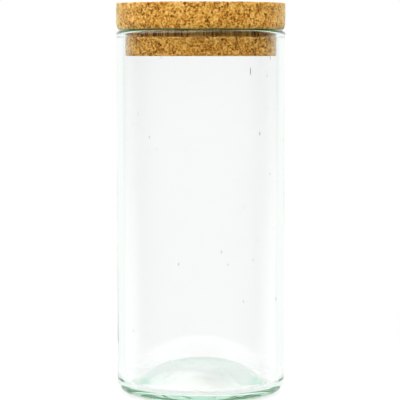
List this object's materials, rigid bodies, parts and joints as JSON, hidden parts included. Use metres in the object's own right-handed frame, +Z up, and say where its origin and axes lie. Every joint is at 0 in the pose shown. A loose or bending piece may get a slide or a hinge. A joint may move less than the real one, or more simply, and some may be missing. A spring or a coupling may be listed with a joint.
{
  "type": "glass jar with cork lid",
  "caption": "Tall round storage jar of pale green recycled glass with a domed base, closed by a push-in cork lid made of a wide cap disc and a plug disc.",
  "frame": {"origin": "on the plane that the jar stands on, under the jar's axis", "axes": "+Z up along the jar's axis; +X and +Y are alike, because the jar is round"},
  "size_m": [0.1004, 0.1004, 0.2313],
  "materials": {
    "recycled_glass": "polished",
    "cork": "matte"
  },
  "bodies": {
    "jar": {"glass_jar": "recycled_glass"},
    "lid": {"cork_cap_disc": "cork", "cork_plug_disc": "cork"}
  },
  "joints": [
    {"name": "lid_lift", "type": "slide", "parent": "jar", "child": "lid", "axis": [0, 0, 1], "range_m": [0, 0.12]}
  ]
}
